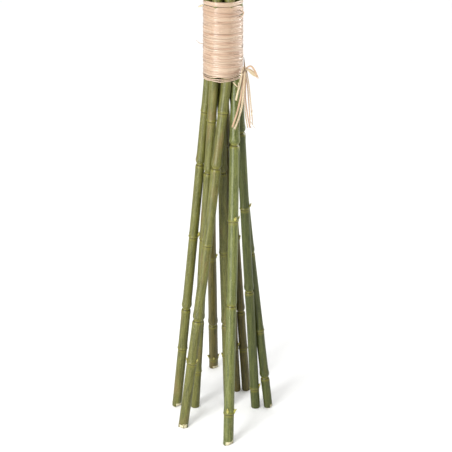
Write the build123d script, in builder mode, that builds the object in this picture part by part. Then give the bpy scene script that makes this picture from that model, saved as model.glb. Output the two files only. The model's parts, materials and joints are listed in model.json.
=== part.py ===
"""A free-standing garden torch: ten bamboo canes lashed with raffia, carrying a steel oil canister.

The canes splay to the ground below a raffia binding at the waist and open again above it,
so that the tapered canister wedges into the ring of cane tops and rests on them by its rim.
Units are millimetres, +Z is up, and the origin is on the ground under the torch's axis.
"""

import math
import os
from typing import NamedTuple

from build123d import *

os.makedirs("parts", exist_ok=True)

# ---- Driving dimensions -------------------------------------------------------------------

CANE_TOP = 1400.0  # level cut of every cane
MID_LEG = 310.0  # height of the gentle bend in each leg
WAIST_LOW = 620.0  # each cane enters the binding here
WAIST_HIGH = 765.0  # and leaves it here, a little further round
WAIST_RING = 25.3  # axis to cane centre in the waist, outer eight canes
CORE_RING = 8.4  # axis to cane centre in the waist, two inner canes
WAIST_TWIST = 15.0  # degrees the bundle turns through the binding
TOP_RING = 59.5  # axis to cane centre at the cane tops

BINDING_BOTTOM = 627.0
BINDING_TOP = 762.0
CANE_CLEARANCE = 0.4  # between the largest cane and the inside of a binding
RAFFIA_WALL = 1.8  # thickness of the wound raffia
UPPER_BINDING_BOTTOM = 1318.0
UPPER_BINDING_TOP = 1358.0
WAIST_KNOT_RADIUS = 4.6
UPPER_KNOT_RADIUS = 6.0
STRAND_WIDTH = 3.5

SHEET_STEEL = 0.8
CUP_BOTTOM = 1296.0
CUP_BOTTOM_RADIUS = 43.0
CUP_TOP_RADIUS = 51.0
CUP_CORNER = 6.0
RIM_RADIUS = 64.0  # outside of the rolled rim that rests on the canes
RIM_ROLL = 1.8  # radius of the roll's section
REST_GAP = 0.3  # between the rim and the cane tops
NECK_RADIUS = 19.4
NECK_BORE = 17.0
NECK_BOTTOM = 1418.0
NECK_TOP = 1436.0
THREAD_PITCH = 3.0
THREAD_HEIGHT = 0.6
SEAL_THICKNESS = 1.2
SEAT_GAP = 0.2
LID_RADIUS = 23.5
LID_BORE = 20.6
LID_SKIRT = 13.5
LID_PLATE = 1.0
LID_FLUTES = 30
WICK_RADIUS = 6.6
WICK_BOTTOM = 1310.0
WICK_TOP = 1459.0
WICK_TUBE_BORE = 6.95
WICK_TUBE_RADIUS = 8.15
WICK_HOLE = 8.2
SNUFFER_BORE = 15.0
SNUFFER_DEPTH = 34.0
KNOB_RADIUS = 6.0

# Heights that follow from the stack: neck, seal, lid, snuffer
RIM_BOTTOM = CANE_TOP + REST_GAP
SEAL_BOTTOM = NECK_TOP + SEAT_GAP
LID_UNDERSIDE = SEAL_BOTTOM + SEAL_THICKNESS + SEAT_GAP
LID_TOP = LID_UNDERSIDE + LID_PLATE
SNUFFER_BOTTOM = LID_TOP + REST_GAP
SNUFFER_CEILING = SNUFFER_BOTTOM + SNUFFER_DEPTH


# ---- Canes --------------------------------------------------------------------------------


class Cane(NamedTuple):
    """One bamboo cane: where it stands, where it passes the waist and ends, and its nodes."""

    foot: tuple  # x, y on the ground
    radii: tuple  # at foot, waist and top
    ring: float  # axis to cane centre in the waist
    waist_angle: float  # degrees from +X where it enters the waist binding
    top_angle: float  # degrees from +X at the top
    bow: tuple  # x, y shift of the leg's middle
    square_cut: bool  # cut square to the cane, or else level with the ground
    first_collar: bool  # nodes alternate from the foot: collar, then pinch, or the reverse
    nodes: tuple  # heights of the leg's nodes
    upper_node: float  # height of the first node above the waist


CANES = {
    "cane_left": Cane(
        (-86, -7), (8.6, 7.6, 6.9), WAIST_RING, 189, 210, (0.6, 0), True, True,
        (120, 200, 340, 475, 570), 850,
    ),
    "cane_left_inner": Cane(
        (-52, -9), (8.3, 8.0, 7.1), WAIST_RING, 233, 246, (-1.2, -1), False, True,
        (75, 180, 340, 465, 558), 865,
    ),
    "cane_front_left": Cane(
        (-72, -82), (8.6, 8.2, 7.2), WAIST_RING, 281, 318, (2.5, 0), False, True,
        (125, 205, 343, 480, 575), 870,
    ),
    "cane_front": Cane(
        (9, -139), (9.1, 8.3, 7.3), WAIST_RING, 327, 354, (1, 0), False, True,
        (56, 247, 392, 520), 830,
    ),
    "cane_right_inner": Cane(
        (59.5, -11), (8.4, 8.0, 7.1), WAIST_RING, 11, 30, (0, -3.6), False, True,
        (40, 235, 392, 530), 872,
    ),
    "cane_right": Cane(
        (83, -12), (7.8, 7.6, 6.9), WAIST_RING, 53, 66, (-2.2, 10.5), True, True,
        (60, 152, 300, 430), 860,
    ),
    "cane_rear_inner": Cane(
        (43, 52), (7.8, 7.6, 6.9), WAIST_RING, 92, 102, (1, 4), True, True,
        (90, 168, 314, 455), 868,
    ),
    "cane_rear": Cane(
        (-19, 140), (9.0, 7.6, 7.0), WAIST_RING, 142, 174, (-2, 0), False, True,
        (24, 104, 258, 400, 535), 880,
    ),
    "cane_core_front": Cane(
        (9, -8), (7.6, 7.4, 6.9), CORE_RING, 250, 282, (-2.5, 0), False, True,
        (104, 169, 310, 461), 955,
    ),
    "cane_core_rear": Cane(
        (25, 50), (7.7, 7.4, 6.9), CORE_RING, 106, 138, (-1, -3), False, True,
        (98, 240, 375, 500), 845,
    ),
}
UPPER_INTERNODE = 142.0  # spacing of the nodes above the waist
COLLAR_HALF = 2.5
COLLAR_SHOULDER = 7.0
COLLAR_SWELL = 1.12
PINCH_HALF = 1.5
PINCH_SHOULDER = 7.5
PINCH_RUN_OUT = 15.0
PINCH_WAIST = 0.80
PINCH_SWELL = 1.05
END_RUN = 12.0  # straight cane left at a cut before its nodes may start


def on_circle(radius, degrees):
    """Point on a circle about the torch's axis."""
    return radius * math.cos(math.radians(degrees)), radius * math.sin(math.radians(degrees))


def cane_line(cane):
    """Corner points of a cane's centreline, from the ground up."""
    low = on_circle(cane.ring, cane.waist_angle)
    high = on_circle(cane.ring, cane.waist_angle + WAIST_TWIST)
    top = on_circle(TOP_RING, cane.top_angle)
    share = MID_LEG / WAIST_LOW
    middle = [f + (w - f) * share + b for f, w, b in zip(cane.foot, low, cane.bow)]
    return [
        Vector(*cane.foot, 0),
        Vector(*middle, MID_LEG),
        Vector(*low, WAIST_LOW),
        Vector(*high, WAIST_HIGH),
        Vector(*top, CANE_TOP),
    ]


def cane_point(cane, height):
    """Centre of a cane at a height."""
    line = cane_line(cane)
    for start, end in zip(line, line[1:]):
        if height <= end.Z:
            break
    return start + (end - start) * ((height - start.Z) / (end.Z - start.Z))


def cane_direction(cane, height):
    """Direction of a cane at a height, averaged over its bends."""
    reach = 4.0
    below = cane_point(cane, max(height - reach, 0))
    above = cane_point(cane, min(height + reach, CANE_TOP))
    return (above - below).normalized()


def cane_radius(cane, height):
    """Radius of a cane between its nodes at a height."""
    foot, waist, top = cane.radii
    if height <= WAIST_LOW:
        return foot + (waist - foot) * height / WAIST_LOW
    share = max(height - WAIST_HIGH, 0) / (CANE_TOP - WAIST_HIGH)
    return waist + (top - waist) * share


def cane_stations(cane):
    """Heights along a cane with the factor on its radius there, in order."""
    stations = [(MID_LEG + 1, 1.0), (WAIST_LOW, 1.0), (WAIST_HIGH, 1.0)]
    upper_count = int((CANE_TOP - PINCH_RUN_OUT - END_RUN - cane.upper_node) // UPPER_INTERNODE) + 1
    upper = [cane.upper_node + UPPER_INTERNODE * i for i in range(upper_count)]
    for index, height in enumerate(list(cane.nodes) + upper):
        if (index % 2 == 0) == cane.first_collar:
            shape = [(-COLLAR_SHOULDER, 1.0), (-COLLAR_HALF, COLLAR_SWELL)]
            shape += [(COLLAR_HALF, COLLAR_SWELL), (COLLAR_SHOULDER, 1.0)]
        else:
            shape = [(-PINCH_RUN_OUT, 1.0), (-PINCH_SHOULDER, PINCH_SWELL)]
            shape += [(-PINCH_HALF, PINCH_WAIST), (PINCH_HALF, PINCH_WAIST)]
            shape += [(PINCH_SHOULDER, PINCH_SWELL), (PINCH_RUN_OUT, 1.0)]
        node_ends = (height + shape[0][0], height + shape[-1][0])
        stations = [s for s in stations if not node_ends[0] - 2 < s[0] < node_ends[1] + 2]
        stations += [(height + offset, factor) for offset, factor in shape]
    return sorted(stations)


def cane_slices(cane):
    """Planes and radii of the circles that a cane is lofted through."""
    foot = cane_direction(cane, 0)
    slices = []
    if cane.square_cut:
        # The lowest point of the square cut's edge stands on the ground.
        lift = cane.radii[0] * math.hypot(foot.X, foot.Y)
        slices.append((Plane(cane_point(cane, lift), z_dir=foot), cane.radii[0]))
    else:
        slices.append((Plane(cane_point(cane, 0), z_dir=(0, 0, 1)), cane.radii[0]))
    for height, factor in cane_stations(cane):
        plane = Plane(cane_point(cane, height), z_dir=cane_direction(cane, height))
        slices.append((plane, cane_radius(cane, height) * factor))
    slices.append((Plane(cane_point(cane, CANE_TOP), z_dir=(0, 0, 1)), cane.radii[2]))
    return slices


for name, cane in CANES.items():
    with BuildPart() as stem:
        for plane, radius in cane_slices(cane):
            with BuildSketch(plane):
                Circle(radius)
        loft(ruled=True)
    stem.part.label = name
    export_step(stem.part, f"parts/{name}.step")


# ---- Raffia bindings ----------------------------------------------------------------------


def ring_corners(height, canes):
    """Centres of the given canes at a height, in order round the axis."""
    centres = [cane_point(cane, height) for cane in canes]
    centres.sort(key=lambda p: math.atan2(p.Y, p.X))
    return [(p.X, p.Y) for p in centres]


outer_canes = [cane for cane in CANES.values() if cane.ring == WAIST_RING]
waist_inset = max(cane.radii[1] for cane in outer_canes) + CANE_CLEARANCE
waist_levels = (BINDING_BOTTOM, (BINDING_BOTTOM + BINDING_TOP) / 2, BINDING_TOP)

with BuildPart() as waist_binding:
    for level in waist_levels:
        with BuildSketch(Plane.XY.offset(level)):
            Polygon(*ring_corners(level, outer_canes), align=None)
            offset(amount=waist_inset + RAFFIA_WALL)
    loft(ruled=True)
    for level in waist_levels:
        with BuildSketch(Plane.XY.offset(level)):
            Polygon(*ring_corners(level, outer_canes), align=None)
            offset(amount=waist_inset)
    loft(ruled=True, mode=Mode.SUBTRACT)
waist_binding.part.label = "waist_binding"
export_step(waist_binding.part, "parts/waist_binding.step")

upper_inset = max(cane.radii[2] for cane in CANES.values()) + CANE_CLEARANCE
upper_levels = (UPPER_BINDING_BOTTOM, UPPER_BINDING_TOP)

with BuildPart() as upper_binding:
    for level in upper_levels:
        with BuildSketch(Plane.XY.offset(level)):
            Polygon(*ring_corners(level, CANES.values()), align=None)
            offset(amount=upper_inset + RAFFIA_WALL)
    loft(ruled=True)
    for level in upper_levels:
        with BuildSketch(Plane.XY.offset(level)):
            Polygon(*ring_corners(level, CANES.values()), align=None)
            offset(amount=upper_inset)
    loft(ruled=True, mode=Mode.SUBTRACT)
upper_binding.part.label = "upper_binding"
export_step(upper_binding.part, "parts/upper_binding.step")


# ---- Knots and loose raffia ends ----------------------------------------------------------

WAIST_KNOT = Vector(35.2, -20.5, 648)
with BuildPart() as waist_knot:
    with Locations(Location(WAIST_KNOT)):
        Sphere(WAIST_KNOT_RADIUS)
waist_knot.part.label = "waist_knot"
export_step(waist_knot.part, "parts/waist_knot.step")

upper_knot_angle = -28.0
upper_knot_reach = 73.5
UPPER_KNOT = Vector(*on_circle(upper_knot_reach, upper_knot_angle), 1332)
with BuildPart() as upper_knot:
    with Locations(Location(UPPER_KNOT)):
        Sphere(UPPER_KNOT_RADIUS)
upper_knot.part.label = "upper_knot"
export_step(upper_knot.part, "parts/upper_knot.step")

# Each loose end's route starts at the knot's surface and hangs under its own weight.
TAIL_ROUTES = {
    "tail_blade": [
        (39, -22.5, 651.5), (43.4, -23.5, 654.8), (48.4, -24.5, 653.4), (52.7, -25, 647.2),
        (56, -25.5, 640.2), (59.6, -26, 632.1),
    ],
    "tail_left_outer": [
        (33.2, -22.8, 642.8), (32.4, -30, 629.9), (30.8, -34, 613.9), (28.8, -37, 600.2), (24.9, -40, 582.9),
        (20.3, -42, 568.3), (15.3, -44, 553.9),
    ],
    "tail_left_inner": [
        (36.3, -25.6, 642.8), (35.3, -34.5, 626.3), (33.7, -39.5, 608.7), (31.3, -43, 590.8),
        (27.9, -46, 575.3), (23.4, -48, 562.9), (19.1, -49.5, 552.6),
    ],
    "tail_right_inner": [
        (36.5, -17.2, 642.5), (36.2, -20.5, 625.3), (35.6, -23, 610.5), (36.1, -25, 595.5), (37.9, -26.5, 580.3),
        (39.8, -28, 565), (43.2, -29, 548.2),
    ],
    "tail_right_outer": [
        (39.5, -21, 642.5), (41.5, -23, 624.3), (43, -25, 609.4), (44.3, -27, 594.4), (45.5, -29, 580.2),
        (46.7, -30.5, 566.7), (48, -32, 554),
    ],
    "tail_short": [
        (31.2, -24.5, 645.5), (29.2, -33.5, 632.7), (26.4, -37.5, 620.2), (23.2, -40.5, 609), (21.4, -42, 600),
    ],
}


def route_radii(points):
    """Largest tangent arc at each corner of a route: 0.45 of its shorter run."""
    radii = []
    for before, corner, after in zip(points, points[1:], points[2:]):
        into, out = Vector(*corner) - Vector(*before), Vector(*after) - Vector(*corner)
        half_turn = math.radians(into.get_angle(out)) / 2
        radii.append(0.45 * min(into.length, out.length) / math.tan(half_turn))
    return radii


for name, route in TAIL_ROUTES.items():
    radii = route_radii(route)
    with BuildPart() as tail:
        with BuildLine():
            path = FilletPolyline(*route, radius=radii)
        with BuildSketch(Plane(path @ 0, z_dir=path % 0)):
            Circle(STRAND_WIDTH / 2)
        sweep()
    tail.part.label = name
    export_step(tail.part, f"parts/{name}.step")
    full_volume = math.pi * (STRAND_WIDTH / 2) ** 2 * path.length
    share = round(tail.part.volume / full_volume, 4)
    print(name, "length", round(path.length, 1), "volume share", share, "radii", [round(r) for r in radii])


# ---- Oil canister -------------------------------------------------------------------------

CUP_SLOPE = (CUP_TOP_RADIUS - CUP_BOTTOM_RADIUS) / (CANE_TOP - CUP_BOTTOM)
roll_centre = RIM_RADIUS - RIM_ROLL
flange_bottom = RIM_BOTTOM + RIM_ROLL - SHEET_STEEL
flange_top = flange_bottom + SHEET_STEEL
cup_mouth_radius = CUP_TOP_RADIUS + CUP_SLOPE * (flange_bottom - CANE_TOP)

with BuildPart() as canister_cup:
    with BuildSketch(Plane.XZ):
        with BuildLine():
            Polyline(
                (0, CUP_BOTTOM),
                (CUP_BOTTOM_RADIUS, CUP_BOTTOM),
                (cup_mouth_radius, flange_bottom),
                (roll_centre - RIM_ROLL, flange_bottom),
                (roll_centre - RIM_ROLL, flange_top),
                (cup_mouth_radius - SHEET_STEEL, flange_top),
                (CUP_BOTTOM_RADIUS - SHEET_STEEL, CUP_BOTTOM + SHEET_STEEL),
                (0, CUP_BOTTOM + SHEET_STEEL),
                close=True,
            )
        make_face()
    revolve(axis=Axis.Z)
    bottom_edges = canister_cup.edges().filter_by(GeomType.CIRCLE).group_by(Axis.Z)
    fillet(bottom_edges[0], CUP_CORNER)
    inner_corner = canister_cup.edges().filter_by(GeomType.CIRCLE).filter_by(
        lambda e: abs(e.center().Z - CUP_BOTTOM - SHEET_STEEL) < 0.01
    )
    fillet(inner_corner, CUP_CORNER - SHEET_STEEL)
canister_cup.part.label = "canister_cup"
export_step(canister_cup.part, "parts/canister_cup.step")

DOME_SPRING = 52.0  # radius where the shoulder starts to rise from the flange
dome_rise = NECK_BOTTOM - flange_top

with BuildPart() as canister_shoulder:
    with BuildSketch(Plane.XZ):
        with BuildLine():
            outer_start = (DOME_SPRING, flange_top + SHEET_STEEL)
            outer_end = (NECK_RADIUS, NECK_BOTTOM + SHEET_STEEL)
            inner_start = (DOME_SPRING - SHEET_STEEL, flange_top)
            inner_end = (NECK_RADIUS, NECK_BOTTOM)
            Line((roll_centre - 1, flange_top + SHEET_STEEL), outer_start)
            ThreePointArc(outer_start, (40.0, flange_top + dome_rise * 0.70 + SHEET_STEEL), outer_end)
            Line(outer_end, inner_end)
            ThreePointArc(inner_end, (39.6, flange_top + dome_rise * 0.70), inner_start)
            Line(inner_start, (roll_centre - 1, flange_top))
            Line((roll_centre - 1, flange_top), (roll_centre - 1, flange_top + SHEET_STEEL))
        make_face()
        with Locations((roll_centre, RIM_BOTTOM + RIM_ROLL)):
            Circle(RIM_ROLL)
    revolve(axis=Axis.Z)
canister_shoulder.part.label = "canister_shoulder"
export_step(canister_shoulder.part, "parts/canister_shoulder.step")

with BuildPart() as filler_neck:
    with BuildSketch(Plane.XZ):
        with Locations(((NECK_BORE + NECK_RADIUS) / 2, (NECK_BOTTOM + NECK_TOP) / 2)):
            Rectangle(NECK_RADIUS - NECK_BORE, NECK_TOP - NECK_BOTTOM)
    revolve(axis=Axis.Z)
    with BuildSketch(Plane.XZ):
        for turn in range(3):
            with Locations((NECK_RADIUS, NECK_TOP - 3.0 - turn * THREAD_PITCH)):
                Rectangle(2 * THREAD_HEIGHT, THREAD_PITCH / 2)
    revolve(axis=Axis.Z)
filler_neck.part.label = "filler_neck"
export_step(filler_neck.part, "parts/filler_neck.step")

with BuildPart() as lid_seal:
    with BuildSketch(Plane.XY.offset(SEAL_BOTTOM)):
        Circle(LID_BORE - 0.5)
        Circle(NECK_BORE - 1.5, mode=Mode.SUBTRACT)
    extrude(amount=SEAL_THICKNESS)
lid_seal.part.label = "lid_seal"
export_step(lid_seal.part, "parts/lid_seal.step")

with BuildPart() as burner_lid:
    with BuildSketch(Plane.XY.offset(LID_UNDERSIDE - LID_SKIRT)):
        Circle(LID_RADIUS)
        with PolarLocations(LID_RADIUS, LID_FLUTES):
            Circle(0.9, mode=Mode.SUBTRACT)
    extrude(amount=LID_SKIRT + LID_PLATE - 1.2)
    with BuildSketch(Plane.XY.offset(LID_TOP - 1.2)):
        Circle(LID_RADIUS)
    extrude(amount=1.2)
    chamfer(burner_lid.faces().sort_by(Axis.Z)[-1].edges(), 0.8)
    with BuildSketch(Plane.XY.offset(LID_UNDERSIDE - LID_SKIRT)):
        Circle(LID_BORE)
    extrude(amount=LID_SKIRT, mode=Mode.SUBTRACT)
    with BuildSketch(Plane.XY.offset(LID_UNDERSIDE)):
        Circle(WICK_HOLE)
    extrude(amount=LID_PLATE, mode=Mode.SUBTRACT)
burner_lid.part.label = "burner_lid"
export_step(burner_lid.part, "parts/burner_lid.step")

WICK_TUBE_BOTTOM = 1415.0
WICK_TUBE_TOP = 1449.0
WICK_TUBE_LIP = 11.0

with BuildPart() as wick_tube:
    with BuildSketch(Plane.XY.offset(WICK_TUBE_BOTTOM)):
        Circle(WICK_TUBE_RADIUS)
    extrude(amount=WICK_TUBE_TOP - WICK_TUBE_BOTTOM)
    with BuildSketch(Plane.XY.offset(LID_TOP)):
        Circle(WICK_TUBE_LIP)
    extrude(amount=SHEET_STEEL)
    with BuildSketch(Plane.XY.offset(WICK_TUBE_BOTTOM)):
        Circle(WICK_TUBE_BORE)
    extrude(amount=WICK_TUBE_TOP - WICK_TUBE_BOTTOM, mode=Mode.SUBTRACT)
wick_tube.part.label = "wick_tube"
export_step(wick_tube.part, "parts/wick_tube.step")

with BuildPart() as wick:
    with BuildSketch(Plane.XY.offset(WICK_BOTTOM)):
        Circle(WICK_RADIUS)
    extrude(amount=WICK_TOP - WICK_BOTTOM)
    fillet(wick.edges().filter_by(GeomType.CIRCLE), 1.0)
wick.part.label = "wick"
export_step(wick.part, "parts/wick.step")

with BuildPart() as snuffer_cap:
    with BuildSketch(Plane.XY.offset(SNUFFER_BOTTOM)):
        Circle(SNUFFER_BORE + SHEET_STEEL)
    extrude(amount=SNUFFER_DEPTH + SHEET_STEEL)
    fillet(snuffer_cap.faces().sort_by(Axis.Z)[-1].edges(), 1.6)
    with BuildSketch(Plane.XY.offset(SNUFFER_BOTTOM)):
        Circle(SNUFFER_BORE + SHEET_STEEL + 1.2)
    extrude(amount=1.6)
    with BuildSketch(Plane.XY.offset(SNUFFER_BOTTOM)):
        Circle(SNUFFER_BORE)
    extrude(amount=SNUFFER_DEPTH, mode=Mode.SUBTRACT)
snuffer_cap.part.label = "snuffer_cap"
export_step(snuffer_cap.part, "parts/snuffer_cap.step")

KNOB_STEM_RADIUS = 2.4
KNOB_STEM = 4.5
knob_base = SNUFFER_CEILING + SHEET_STEEL

with BuildPart() as snuffer_knob:
    with BuildSketch(Plane.XY.offset(knob_base)):
        Circle(KNOB_STEM_RADIUS)
    extrude(amount=KNOB_STEM + KNOB_RADIUS)
    with Locations((0, 0, knob_base + KNOB_STEM + KNOB_RADIUS * 0.9)):
        Sphere(KNOB_RADIUS)
snuffer_knob.part.label = "snuffer_knob"
export_step(snuffer_knob.part, "parts/snuffer_knob.step")
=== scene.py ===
"""Looks of a bamboo garden torch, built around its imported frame.

Ten green canes are lashed at the waist with raffia and hold a steel oil canister at the top.
Every length in the classes is in millimetres unless its name says otherwise; meshes are in metres.
"""

import json
import logging
import math
import random
import sys
from dataclasses import dataclass, field
from enum import Enum
from functools import cache
from typing import Callable, Sequence

import bmesh
import bpy
import numpy as np
from mathutils import Matrix, Vector, noise

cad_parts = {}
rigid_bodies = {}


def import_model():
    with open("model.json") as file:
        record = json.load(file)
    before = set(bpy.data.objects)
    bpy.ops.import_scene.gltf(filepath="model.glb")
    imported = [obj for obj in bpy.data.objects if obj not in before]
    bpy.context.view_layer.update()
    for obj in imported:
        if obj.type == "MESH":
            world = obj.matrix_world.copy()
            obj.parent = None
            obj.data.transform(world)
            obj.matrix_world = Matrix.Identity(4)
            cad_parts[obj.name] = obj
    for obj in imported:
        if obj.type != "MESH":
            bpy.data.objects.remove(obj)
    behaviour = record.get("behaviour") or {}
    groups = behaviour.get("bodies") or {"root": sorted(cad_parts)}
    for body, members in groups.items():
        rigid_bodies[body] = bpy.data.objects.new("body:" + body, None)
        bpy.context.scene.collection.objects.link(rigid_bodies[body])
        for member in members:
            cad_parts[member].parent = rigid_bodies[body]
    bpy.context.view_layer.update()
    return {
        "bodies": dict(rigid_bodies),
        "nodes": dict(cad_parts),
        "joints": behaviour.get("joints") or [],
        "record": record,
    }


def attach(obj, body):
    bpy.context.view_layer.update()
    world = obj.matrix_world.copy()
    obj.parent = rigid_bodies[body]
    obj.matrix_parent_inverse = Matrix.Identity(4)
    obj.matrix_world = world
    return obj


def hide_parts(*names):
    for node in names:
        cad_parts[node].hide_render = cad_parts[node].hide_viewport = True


MM = 0.001
FULL_TURN = 2 * math.pi
log = logging.getLogger("torch")


# ---- Shader helpers -----------------------------------------------------------------------


def linear(colour: str, alpha: float = 1.0) -> tuple[float, float, float, float]:
    """Turn an sRGB hex colour to linear RGBA.

    Args:
        colour: six hex digits, with or without a hash.
        alpha: the fourth channel.

    Returns:
        Linear red, green, blue and alpha.
    """
    digits = colour.lstrip("#")
    channels = [int(digits[i : i + 2], 16) / 255 for i in (0, 2, 4)]
    curve = [c / 12.92 if c <= 0.04045 else ((c + 0.055) / 1.055) ** 2.4 for c in channels]
    return curve[0], curve[1], curve[2], alpha


def add(tree: bpy.types.NodeTree, kind: str, inputs: dict | None = None, **settings) -> bpy.types.Node:
    """Add a node with its settings, socket values and links.

    Args:
        tree: the material's node tree.
        kind: the node's type name.
        inputs: socket name or index to a value, or to an output socket to link from.
        settings: attributes of the node.

    Returns:
        The new node.
    """
    made = tree.nodes.new(kind)
    for name, value in settings.items():
        setattr(made, name, value)
    for name, value in (inputs or {}).items():
        if isinstance(value, bpy.types.NodeSocket):
            tree.links.new(value, made.inputs[name])
        else:
            made.inputs[name].default_value = value
    return made


def blank_material(name: str) -> tuple[bpy.types.Material, bpy.types.NodeTree, bpy.types.Node]:
    """Make a material that holds only a Principled shader and its output.

    Args:
        name: the finish's name.

    Returns:
        The material, its tree and the Principled node.
    """
    material = bpy.data.materials.new(name)
    material.use_nodes = True
    tree = material.node_tree
    tree.nodes.clear()
    shader = add(tree, "ShaderNodeBsdfPrincipled")
    add(tree, "ShaderNodeOutputMaterial", {"Surface": shader.outputs["BSDF"]})
    return material, tree, shader


def stretched_noise(
    tree: bpy.types.NodeTree, vector: bpy.types.NodeSocket, cell: Sequence[float], detail: float = 3.0
) -> bpy.types.NodeSocket:
    """Noise whose cells have a stated size along each axis.

    Args:
        tree: the material's node tree.
        vector: coordinates in metres.
        cell: size of a cell along x, y and z, in millimetres.
        detail: octaves of the noise.

    Returns:
        The noise's value, from 0 to 1.
    """
    scale = [1 / (size * MM) for size in cell]
    mapping = add(tree, "ShaderNodeMapping", {"Vector": vector, "Scale": scale})
    made = add(
        tree, "ShaderNodeTexNoise",
        {"Vector": mapping.outputs["Vector"], "Scale": 1.0, "Detail": detail, "Roughness": 0.55},
    )
    return made.outputs["Fac"]


def remap(
    tree: bpy.types.NodeTree, value: bpy.types.NodeSocket, low: float, high: float,
    to_low: float = 0.0, to_high: float = 1.0,
) -> bpy.types.NodeSocket:
    """Bring a value from one range to another, clamped and smoothed.

    Args:
        tree: the material's node tree.
        value: the value to bring over.
        low: start of its range.
        high: end of its range.
        to_low: result at the start.
        to_high: result at the end.

    Returns:
        The result's socket.
    """
    made = add(
        tree, "ShaderNodeMapRange",
        {"Value": value, "From Min": low, "From Max": high, "To Min": to_low, "To Max": to_high},
        interpolation_type="SMOOTHSTEP",
    )
    return made.outputs["Result"]


def blend_colour(
    tree: bpy.types.NodeTree, share: bpy.types.NodeSocket, first: object, second: object
) -> bpy.types.NodeSocket:
    """Mix two colours, given as hex strings or sockets.

    Args:
        tree: the material's node tree.
        share: share of the second colour.
        first: the first colour.
        second: the second colour.

    Returns:
        The mixed colour's socket.
    """
    ends = [linear(c) if isinstance(c, str) else c for c in (first, second)]
    made = add(
        tree, "ShaderNodeMix", {0: share, 6: ends[0], 7: ends[1]}, data_type="RGBA",
    )
    return made.outputs[2]


def relief(
    tree: bpy.types.NodeTree, shader: bpy.types.Node, height: bpy.types.NodeSocket, depth: float,
    strength: float = 1.0,
) -> None:
    """Give a shader a bump.

    Args:
        tree: the material's node tree.
        shader: the Principled node.
        height: the bump's height, from 0 to 1.
        depth: full depth in millimetres.
        strength: the bump node's strength.
    """
    bump = add(tree, "ShaderNodeBump", {"Height": height, "Distance": depth * MM, "Strength": strength})
    tree.links.new(bump.outputs["Normal"], shader.inputs["Normal"])


# ---- Finishes -----------------------------------------------------------------------------


@dataclass(frozen=True)
class BambooRind:
    """Rind of a cut green cane: waxy and satin, with short fibres and pale specks in the wax.

    It reads two attributes of its cane: grain, the place in the cane's own section and along it,
    and scar_gap, the distance to the nearest leaf scar.
    """

    name: str
    green: str
    deep: str
    blush: str
    blush_share: float
    bloom: str
    collar: str = "#6A6620"
    scar: str = "#2F2B12"

    def make(self) -> bpy.types.Material:
        """Build the material."""
        material, tree, shader = blank_material(self.name)
        grain = add(tree, "ShaderNodeAttribute", attribute_name="grain").outputs["Vector"]
        gap = add(tree, "ShaderNodeAttribute", attribute_name="scar_gap").outputs["Fac"]
        fibre = stretched_noise(tree, grain, (0.8, 0.8, 9.0), 4.0)
        streak = stretched_noise(tree, grain, (2.6, 2.6, 34.0), 3.0)
        patch = stretched_noise(tree, grain, (15.0, 15.0, 60.0), 3.0)
        colour = blend_colour(tree, remap(tree, streak, 0.36, 0.64, 0.0, 1.0), self.green, self.deep)
        start = 0.64 - self.blush_share * 0.3
        colour = blend_colour(tree, remap(tree, patch, start, start + 0.2, 0.0, 0.7), colour, self.blush)
        colour = blend_colour(tree, remap(tree, fibre, 0.50, 0.74, 0.0, 0.35), colour, self.bloom)
        # The node is yellower, and its leaf scar a thin dark line.
        colour = blend_colour(tree, remap(tree, gap, 7.0 * MM, 1.0 * MM, 0.0, 0.7), colour, self.collar)
        colour = blend_colour(tree, remap(tree, gap, 1.3 * MM, 0.4 * MM, 0.0, 0.8), colour, self.scar)
        speck = stretched_noise(tree, grain, (0.9, 0.9, 1.6), 1.0)
        colour = blend_colour(tree, remap(tree, speck, 0.60, 0.72, 0.0, 0.6), colour, self.bloom)
        tree.links.new(colour, shader.inputs["Base Color"])
        tree.links.new(remap(tree, fibre, 0.3, 0.7, 0.36, 0.50), shader.inputs["Roughness"])
        shader.inputs["Specular IOR Level"].default_value = 0.36
        relief(tree, shader, fibre, 0.14, 0.5)
        return material


@dataclass(frozen=True)
class CutBamboo:
    """Sawn end of a cane: pale straw wood with fibre bundles as dark dots, rough and matt."""

    name: str = "cut_bamboo"
    wood: str = "#C6BE9C"
    fibre: str = "#857A55"
    pith: str = "#DAD6C4"

    def make(self) -> bpy.types.Material:
        """Build the material."""
        material, tree, shader = blank_material(self.name)
        place = add(tree, "ShaderNodeTexCoord").outputs["Object"]
        dots = stretched_noise(tree, place, (0.7, 0.7, 6.0), 2.0)
        patch = stretched_noise(tree, place, (4.0, 4.0, 4.0), 2.0)
        colour = blend_colour(tree, remap(tree, dots, 0.5, 0.66, 0.0, 0.7), self.wood, self.fibre)
        colour = blend_colour(tree, remap(tree, patch, 0.5, 0.7, 0.0, 0.6), colour, self.pith)
        tree.links.new(colour, shader.inputs["Base Color"])
        shader.inputs["Roughness"].default_value = 0.85
        relief(tree, shader, dots, 0.2, 0.6)
        return material


@dataclass(frozen=True)
class BudScale:
    """Papery bud scales and sheath tips: yellow-green, browning towards their tips."""

    name: str = "bud_scale"
    fresh: str = "#A8A552"
    dry: str = "#7A6B34"

    def make(self) -> bpy.types.Material:
        """Build the material."""
        material, tree, shader = blank_material(self.name)
        place = add(tree, "ShaderNodeTexCoord").outputs["Object"]
        patch = stretched_noise(tree, place, (2.0, 2.0, 5.0), 3.0)
        colour = blend_colour(tree, remap(tree, patch, 0.38, 0.64), self.fresh, self.dry)
        tree.links.new(colour, shader.inputs["Base Color"])
        shader.inputs["Roughness"].default_value = 0.6
        relief(tree, shader, patch, 0.15, 0.5)
        return material


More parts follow.
